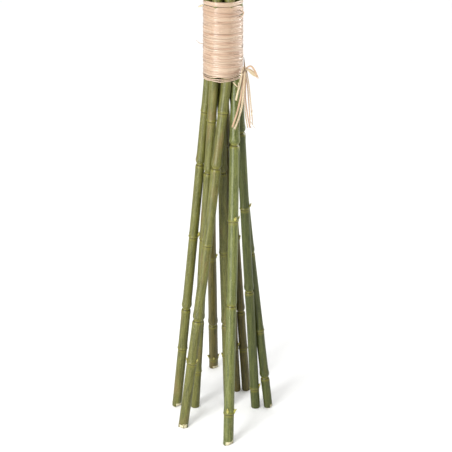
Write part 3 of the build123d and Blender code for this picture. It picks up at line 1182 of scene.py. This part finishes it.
@dataclass(frozen=True)
class Knot:
    """Overhand knot of raffia, pulled tight against a binding."""

    node: str
    centre: tuple[float, float, float]
    size: float
    facing: float  # degrees from +X
    finish: Raffia
    seed: int = 3

    def build(self) -> bpy.types.Object:
        """Build the knot: two trefoil strands, one turned in the other, round a small core."""
        mesh = raffia_mesh()
        out = polar(1.0, math.radians(self.facing))
        across, up, middle = Vector((0, 0, 1)).cross(out), Vector((0, 0, 1)), Vector(self.centre)
        chance = random.Random(self.seed)
        stations = 56
        for turn, share in ((0.0, 0.88), (1.9, 0.74)):
            path, facing = [], []
            for index in range(stations + 1):
                t = index / stations * FULL_TURN * 0.985
                x = math.sin(t) + 2 * math.sin(2 * t)
                y = math.cos(t) - 2 * math.cos(2 * t)
                x, y = x * math.cos(turn) - y * math.sin(turn), x * math.sin(turn) + y * math.cos(turn)
                reach = self.size * share / 3.0
                local = across * x * reach + up * y * reach - out * math.sin(3 * t) * reach * 0.9
                path.append(middle + local)
                facing.append((out * 0.8 + local.normalized() * 0.7).normalized())
            girth = self.size * 0.46
            widths = [girth * (1 + 0.15 * wobble(turn + self.seed, i, 9.0)) for i in range(stations + 1)]
            ribbon(mesh, path, facing, widths, 0.9, chance.random())
        rings = 9

        def core(ring: int, turn: float) -> tuple[Vector, dict[str, object]]:
            """Point of the core at a ring and a turn round it."""
            bow = math.pi * (0.04 + 0.92 * ring / (rings - 1))
            angle = turn * FULL_TURN
            girth = math.sin(bow) * self.size * 0.62
            local = across * girth * math.cos(angle) + out * girth * 0.8 * math.sin(angle)
            local += up * math.cos(bow) * self.size * 0.6
            return (middle + local) * MM, {"strand": local * MM, "tone": 0.8}

        mesh.tube(rings, 12, core)
        made = mesh.finish(self.node + "_raffia", (material_of(self.finish),))
        fix_to_stand(made, self.node)
        return made


@dataclass(frozen=True)
class Tail:
    """A free end of raffia that hangs from the waist knot."""

    node: str
    route: tuple[tuple[float, float, float], ...]  # metres
    length: float  # metres
    width: float  # width of each strand
    offsets: tuple[float, ...]  # where the strands lie across the tail
    spread: float = 0.0  # how far they part at the end
    turn: float = 0.0  # twist from one end to the other, in degrees
    tone: float = 0.4
    blunt: bool = False

    def build(self, finish: Raffia, goes_along: Sequence[bpy.types.Object] = ()) -> bpy.types.Object:
        """Build the tail along its spline.

        Args:
            finish: finish of the raffia.
            goes_along: short strands that go with this tail; not used.

        Returns:
            The tail.
        """
        line = spline_points(self.route)
        mesh = raffia_mesh()
        count = len(line)
        for number, offset in enumerate(self.offsets):
            path, facing, widths = [], [], []
            for index, point in enumerate(line):
                share = index / (count - 1)
                along = (line[min(index + 1, count - 1)] - line[max(index - 1, 0)]).normalized()
                look = Matrix.Rotation(math.radians(self.turn * share + 14 * number), 3, along) @ VIEWER
                side = along.cross(look).normalized()
                apart = offset * (1 + self.spread * share**2)
                path.append(point / MM + side * apart)
                facing.append(look)
                end = 1.0 if self.blunt else min(1.0, (1 - share) * 9 + 0.25)
                widths.append(self.width * end * (1 + 0.12 * wobble(number + self.tone * 20, share, 0.2)))
            ribbon(mesh, path, facing, widths, 0.7, (self.tone + 0.35 * number) % 1.0)
        made = mesh.finish(self.node + "_raffia", (material_of(finish),))
        fix_to_stand(made, self.node)
        return made


def spline_points(route: Sequence[tuple[float, float, float]]) -> list[Vector]:
    """Points of a smooth line with a route as its control points.

    Args:
        route: control points in metres.

    Returns:
        Points along the line, in metres.
    """
    curve = bpy.data.curves.new("route", "CURVE")
    curve.dimensions = "3D"
    curve.resolution_u = 6
    spline = curve.splines.new("NURBS")
    spline.points.add(len(route) - 1)
    for point, place in zip(spline.points, route):
        point.co = (*place, 1.0)
    spline.order_u = 3
    spline.use_endpoint_u = True
    holder = bpy.data.objects.new("route", curve)
    bpy.context.scene.collection.objects.link(holder)
    line = bpy.data.meshes.new_from_object(holder)
    points = [vert.co.copy() for vert in line.vertices]
    bpy.data.objects.remove(holder)
    bpy.data.meshes.remove(line)
    bpy.data.curves.remove(curve)
    return points


@dataclass(frozen=True)
class Fray:
    """A strand too short to hang: a loop, a tip or a broken end that stands out of the raffia."""

    route: tuple[tuple[float, float, float], ...]  # millimetres
    widths: tuple[float, ...]  # from its first to its last point, evenly spaced
    tone: float = 0.3

    def add_to(self, mesh: TubeMesh) -> None:
        """Add the strand to a mesh.

        Args:
            mesh: mesh to add to.
        """
        line = spline_points([tuple(part * MM for part in point) for point in self.route])
        places = np.linspace(0, 1, len(line))
        widths = np.interp(places, np.linspace(0, 1, len(self.widths)), self.widths)
        ribbon(mesh, [point / MM for point in line], [VIEWER] * len(line), list(widths), 0.5, self.tone)


def build_frays(name: str, frays: Sequence[Fray], finish: Raffia) -> bpy.types.Object:
    """Build several frays as one piece.

    Args:
        name: the piece's name.
        frays: the short strands.
        finish: their raffia.

    Returns:
        The piece.
    """
    mesh = raffia_mesh()
    for fray in frays:
        fray.add_to(mesh)
    made = mesh.finish(name, (material_of(finish),))
    fix_to_stand(made)
    return made


# ---- Canister dressing --------------------------------------------------------------------


@dataclass(frozen=True)
class Wick:
    """Round braided wick: eight yarns one way and eight the other, over a plain core."""

    node: str
    bottom: float
    top: float
    radius: float
    yarns: int = 8
    lay: float = 42.0  # height in which a yarn goes once round

    def build(self) -> bpy.types.Object:
        """Build the wick."""
        mesh = raffia_mesh()
        thickness, weave = 0.9, 0.3
        middle = self.radius - weave - thickness / 2 - 0.1
        width = FULL_TURN * middle / self.yarns * 0.8
        stations = int((self.top - self.bottom) / 1.6)
        for hand in (1, -1):
            for yarn in range(self.yarns):
                path, facing = [], []
                for index in range(stations + 1):
                    height = self.bottom + (self.top - self.bottom) * index / stations
                    run = FULL_TURN * (height - self.bottom) / self.lay
                    angle = FULL_TURN * yarn / self.yarns + hand * run
                    radius = middle + hand * weave * math.cos(self.yarns * run)
                    path.append(polar(radius, angle, height))
                    facing.append(polar(1.0, angle))
                ribbon(mesh, path, facing, [width] * (stations + 1), thickness, yarn / self.yarns, around=6)
        core = self.radius - 1.5

        def place(ring: int, turn: float) -> tuple[Vector, dict[str, object]]:
            """Point of the core at a ring and a turn round it."""
            height = (self.bottom + 0.5, self.top - 0.3)[ring]
            return polar(core, turn * FULL_TURN, height) * MM, {}

        mesh.tube(2, 24, place)
        made = mesh.finish(self.node + "_braid", (material_of(BraidedGlass("wick_glass_fibre", self.top)),))
        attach(made, "wick")
        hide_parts(self.node)
        return made


# ---- Studio -------------------------------------------------------------------------------


@dataclass(frozen=True)
class SoftLight:
    """One square soft light."""

    name: str
    place: tuple[float, float, float]  # metres
    aim: tuple[float, float, float]  # metres
    size: float  # metres
    power: float  # watts
    spread: float = 180.0  # degrees

    def build(self) -> None:
        """Add the light to the scene."""
        data = bpy.data.lights.new(self.name, "AREA")
        data.size, data.energy, data.spread = self.size, self.power, math.radians(self.spread)
        lamp = bpy.data.objects.new(self.name, data)
        lamp.visible_camera = False
        look = Vector(self.aim) - Vector(self.place)
        lamp.location, lamp.rotation_euler = self.place, look.to_track_quat("-Z", "Y").to_euler()
        bpy.context.scene.collection.objects.link(lamp)


@dataclass(frozen=True)
class Studio:
    """White studio with the camera higher than the waist, looking down at the legs."""

    eye: tuple[float, float, float] = (0.005, -2.200, 1.290)
    aim: tuple[float, float, float] = (0.005, 0.0, 0.357)
    lens: float = 108.76
    sensor: float = 36.0
    floor_side: float = 30.0
    world: float = 0.42
    overhead: float = 1.95  # watts per square metre, from straight above
    lights: tuple[SoftLight, ...] = (
        SoftLight("key", (-1.6, -2.45, 1.0), (0, 0, 0.5), 1.1, 112.0),
        SoftLight("rim", (1.3, 0.45, 0.95), (0, 0, 0.70), 0.7, 2.2, spread=35.0),
    )

    def add_camera(self) -> None:
        """Place the camera."""
        data = bpy.data.cameras.new("camera")
        data.sensor_width, data.lens = self.sensor, self.lens
        camera = bpy.data.objects.new("camera", data)
        look = Vector(self.aim) - Vector(self.eye)
        camera.location, camera.rotation_euler = self.eye, look.to_track_quat("-Z", "Y").to_euler()
        bpy.context.scene.collection.objects.link(camera)
        bpy.context.scene.camera = camera

    def add_floor(self) -> None:
        """Lay the floor."""
        bm = bmesh.new()
        bmesh.ops.create_grid(bm, x_segments=1, y_segments=1, size=self.floor_side / 2)
        object_from(bm, "floor", (material_of(PaleFloor()),), smooth=False)

    def add_light(self) -> None:
        """Light the room evenly, and the torch from the left front and from the right."""
        world = bpy.data.worlds.new("white_room")
        world.use_nodes = True
        background = world.node_tree.nodes["Background"]
        background.inputs["Color"].default_value = linear("#FFFFFF")
        background.inputs["Strength"].default_value = self.world
        scene = bpy.context.scene
        scene.world = world
        scene.view_settings.view_transform = "Standard"
        dome = bpy.data.lights.new("overhead", "SUN")
        dome.energy, dome.angle = self.overhead, math.radians(110)
        bpy.context.scene.collection.objects.link(bpy.data.objects.new("overhead", dome))
        for light in self.lights:
            light.build()


# ---- The torch ----------------------------------------------------------------------------

VIEWER = Vector((0.1, -0.92, 0.38)).normalized()

FRESH = BambooRind("rind_fresh_green", "#5D622C", "#42491C", "#625A2C", 0.15, "#8F9266")
OLIVE = BambooRind("rind_olive", "#5E5E28", "#454618", "#65532B", 0.28, "#8B8A5C")
# The two darker rinds below are partly painted shade. One is the deep green of the right-hand canes and the
# other the browned rind of the rear canes. Part of their darkness stands in for the shade that falls on the
# canes at the right and back, and their hue is the canes' own.
DEEP_GREEN_AND_SHADE = BambooRind("rind_deep_green_and_painted_shade", "#474D1D", "#333A11", "#4C461B", 0.2, "#666B40")
BROWNED_AND_SHADE = BambooRind("rind_browned_and_painted_shade", "#564E1E", "#3E3911", "#584820", 0.35, "#70693C")
WAIST_RAFFIA = Raffia("raffia", straw="#A8927B", peach="#9C7C63", tan="#7F5F46", pale="#B4A799", gloss=0.4)
DARK_RAFFIA = Raffia("raffia_dark", straw="#6E563C", peach="#5C4630", tan="#4A3824", pale="#85694A")
TAIL_RAFFIA = Raffia("raffia_tails", straw="#B2A485", peach="#A9856A", tan="#8A6747", pale="#BCB19D")

TAILS = (
    Tail(
        "tail_blade",
        (
            (0.0380, -0.0215, 0.6495), (0.0434, -0.0235, 0.6548), (0.0484, -0.0245, 0.6534),
            (0.0527, -0.0250, 0.6472), (0.0560, -0.0255, 0.6402), (0.0596, -0.0260, 0.6321),
        ),
        0.0345, 1.5, (0.0, 1.2), spread=0.6, turn=20, tone=0.55,
    ),
    Tail(
        "tail_left_outer",
        (
            (0.0342, -0.0222, 0.6460), (0.0324, -0.0300, 0.6299), (0.0308, -0.0340, 0.6139),
            (0.0288, -0.0370, 0.6002), (0.0249, -0.0400, 0.5829), (0.0203, -0.0420, 0.5683),
            (0.0153, -0.0440, 0.5539),
        ),
        0.0942, 3.4, (0.0,), turn=40, tone=0.75, blunt=True,
    ),
    Tail(
        "tail_left_inner",
        (
            (0.0360, -0.0235, 0.6460), (0.0353, -0.0345, 0.6263), (0.0337, -0.0395, 0.6087),
            (0.0313, -0.0430, 0.5908), (0.0279, -0.0460, 0.5753), (0.0234, -0.0480, 0.5629),
            (0.0191, -0.0495, 0.5526),
        ),
        0.0962, 3.6, (0.0,), turn=-30, tone=0.2, blunt=True,
    ),
    Tail(
        "tail_right_inner",
        (
            (0.0360, -0.0195, 0.6455), (0.0362, -0.0205, 0.6253), (0.0356, -0.0230, 0.6105),
            (0.0361, -0.0250, 0.5955), (0.0379, -0.0265, 0.5803), (0.0398, -0.0280, 0.5650),
            (0.0432, -0.0290, 0.5482),
        ),
        0.0957, 2.4, (-1.2, 1.2), spread=0.7, turn=30, tone=0.85, blunt=True,
    ),
    Tail(
        "tail_right_outer",
        (
            (0.0375, -0.0210, 0.6455), (0.0415, -0.0230, 0.6243), (0.0430, -0.0250, 0.6094),
            (0.0443, -0.0270, 0.5944), (0.0455, -0.0290, 0.5802), (0.0467, -0.0305, 0.5667),
            (0.0480, -0.0320, 0.5540),
        ),
        0.0896, 2.2, (-1.3, 1.3), spread=0.8, turn=-25, tone=0.3,
    ),
    Tail(
        "tail_short",
        (
            (0.0330, -0.0235, 0.6480), (0.0292, -0.0335, 0.6327), (0.0264, -0.0375, 0.6202),
            (0.0232, -0.0405, 0.6090), (0.0214, -0.0420, 0.6000),
        ),
        0.0504, 3.3, (0.0,), turn=20, tone=0.05, blunt=True,
    ),
)

# Short strands at the knot, at the tips of the right-hand tails, and out of the waist binding.
KNOT_FRAYS = (
    Fray(
        ((36, -21, 648.4), (42.2, -22, 647), (47.1, -23, 643.5), (52.1, -23.5, 639.1), (57.1, -24, 634.4)),
        (2.0, 4.5, 6.5, 7.5, 7.0, 2.0), 0.05,
    ),
)
DARK_FRAYS = (
    Fray(((35.6, -26.5, 649), (35.2, -26.5, 659.1), (34.2, -25.0, 669.2)), (2.8, 2.2, 0.8), 0.5),
    Fray(((30.5, -27.5, 641), (33.0, -28.0, 645.0), (35.6, -27.5, 649.5)), (1.6, 1.8, 1.2), 0.7),
)
TIP_FRAYS = (
    Fray(((47.2, -30, 569.2), (48.3, -31, 575.6), (49.9, -32, 582.1)), (1.4, 1.0, 0.4), 0.1),
    Fray(((46.5, -31, 559.4), (50.9, -31, 551.1), (54.4, -31, 547.5)), (1.2, 1.0, 0.4), 0.2),
    Fray(((43, -27, 559), (44, -28, 552), (47.5, -29, 547)), (1.8, 1.6, 0.8), 0.6),
)
WRAP_FRAYS = (
    Fray(
        ((16.5, -37, 629.8), (19.8, -39, 627.5), (24, -39, 621.5), (26.4, -38, 625.5), (24.8, -38, 629.7)),
        (1.6, 2.0, 1.6, 1.2), 0.3,
    ),
    Fray(
        ((27.5, -22, 748.1), (32.1, -14, 744.4), (34.1, -12, 740.6), (32.8, -13, 736.7), (28.2, -22, 735.7)),
        (1.6, 1.8, 1.6), 0.6,
    ),
    Fray(((-32.5, -10, 752.6), (-36.6, -9, 750.7), (-40.7, -9, 749)), (2.6, 3.2, 0.6), 0.05),
    Fray(
        ((-32.9, -12, 688.6), (-37.8, -11, 688.2), (-41.1, -11, 690.9), (-43.9, -11, 694.2)),
        (1.2, 0.8, 0.5), 0.7,
    ),
)

CANES = (
    Cane("cane_left", OLIVE, (
        collar(120), pinch(200), collar(340, -20, twig=True), pinch(475), collar(570, depth=0.6),
    ), 850, 1, square_cut=True, chips=((-50, 55, 1.0),)),
    Cane("cane_left_inner", OLIVE, (
        collar(75), pinch(180), collar(340, -15), pinch(465), collar(558),
    ), 865, 2),
    Cane("cane_front_left", OLIVE, (
        collar(125, -25, 200), pinch(205), collar(343, depth=0.5), pinch(480), collar(575),
    ), 870, 3, chips=((-125, 42, 0.9), (-60, 22, 0.5))),
    Cane("cane_front", FRESH, (
        collar(56, -20, -105, twig=True), pinch(247, depth=0.4), collar(392, -70, 10), pinch(520),
    ), 830, 4, chips=((-48, 52, 1.0), (-100, 20, 0.6))),
    Cane("cane_right_inner", DEEP_GREEN_AND_SHADE, (
        collar(40, -20), pinch(235), collar(392, -10), pinch(530),
    ), 872, 5),
    Cane("cane_right", DEEP_GREEN_AND_SHADE, (
        pinch(60), collar(152), pinch(300, depth=0.5), collar(430),
    ), 860, 6, square_cut=True, chips=((-30, 40, 0.5),)),
    Cane("cane_rear_inner", BROWNED_AND_SHADE, (
        collar(90), pinch(168), collar(314, -20), pinch(455),
    ), 868, 7, square_cut=True),
    Cane("cane_rear", BROWNED_AND_SHADE, (
        collar(24, -10, -85, 195), pinch(104), collar(258, -20), pinch(400), collar(535),
    ), 880, 8, chips=((-60, 50, 0.7),)),
    Cane("cane_core_front", OLIVE, (
        collar(104, 200), pinch(169), collar(310), pinch(461),
    ), 955, 9),
    Cane("cane_core_rear", BROWNED_AND_SHADE, (
        collar(98, -25), pinch(240), collar(375), pinch(500),
    ), 845, 10),
)

BINDINGS = (
    Binding(
        "waist_binding", 627, 762, 21, knot_angle=-30, knot_height=648, finish=WAIST_RAFFIA,
        top_band=9.0, loose_foot=9.0, softness=0.55, slack=1.0,
    ),
    Binding(
        "upper_binding", 1318, 1358, 22, knot_angle=-28, knot_height=1332, finish=WAIST_RAFFIA,
        overlays=10, softness=0.12,
    ),
)

KNOTS = (
    Knot("waist_knot", (35.2, -20.5, 648), 4.6, -30, TAIL_RAFFIA),
    Knot("upper_knot", tuple(polar(73.5, math.radians(-28), 1332)), 6.0, -28, WAIST_RAFFIA, seed=4),
)
WICK = Wick("wick", 1310, 1459, 6.6)

STEEL = TurnedMetal("galvanised_steel", "#B9BCBC", "#8E9293")
SNUFFER_STEEL = TurnedMetal("snuffer_steel", "#A9ACAD", "#7C7F80", roughness=0.26)
BRASS = TurnedMetal("burner_brass", "#C9A45C", "#8F6B33", roughness=0.28)
RUBBER = MouldedRubber()


METAL_NODES = {
    "canister_steel": (STEEL, ("canister_cup", "canister_shoulder", "filler_neck")),
    "snuffer_steel": (SNUFFER_STEEL, ("snuffer_cap", "snuffer_knob")),
    "burner_brass": (BRASS, ("burner_lid", "wick_tube")),
    "seal_rubber": (RUBBER, ("lid_seal",)),
}


def dress_metals(nodes: dict[str, bpy.types.Object]) -> None:
    """Give the CAD nodes that stay in sight their metals and rubber.

    Args:
        nodes: the frame's CAD nodes.
    """
    for slot, (finish, names) in METAL_NODES.items():
        for name in names:
            mesh = nodes[name].data
            mesh.materials.clear()
            mesh.materials.append(material_of(finish))
            log.info("%s: %s", name, finish.name)


def main() -> None:
    """Build the whole scene."""
    logging.basicConfig(level=logging.INFO, format="%(name)s: %(message)s", stream=sys.stdout)
    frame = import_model()
    studio = Studio()
    studio.add_camera()
    build_frays("wrap_frays", WRAP_FRAYS, TAIL_RAFFIA)
    build_frays("dark_frays", DARK_FRAYS, DARK_RAFFIA)
    frays = {
        "tail_blade": (build_frays("knot_frays", KNOT_FRAYS, TAIL_RAFFIA),),
        "tail_right_outer": (build_frays("tip_frays", TIP_FRAYS, TAIL_RAFFIA),),
    }
    for tail in TAILS:
        log.info("%s", tail.build(TAIL_RAFFIA, frays.get(tail.node, ())).name)
    for cane in CANES:
        cane.measure(frame["nodes"])
        for piece in cane.build(material_of(CutBamboo()), material_of(BudScale())):
            log.info("%s: %d faces", piece.name, len(piece.data.polygons))
    lines = [cane.line for cane in CANES]
    for binding in BINDINGS:
        piece = binding.build(lines)
        log.info("%s: %d faces", piece.name, len(piece.data.polygons))
    for knot in KNOTS:
        log.info("%s", knot.build().name)
    log.info("%s", WICK.build().name)
    dress_metals(frame["nodes"])
    studio.add_floor()
    studio.add_light()


if __name__ == "__main__":
    main()
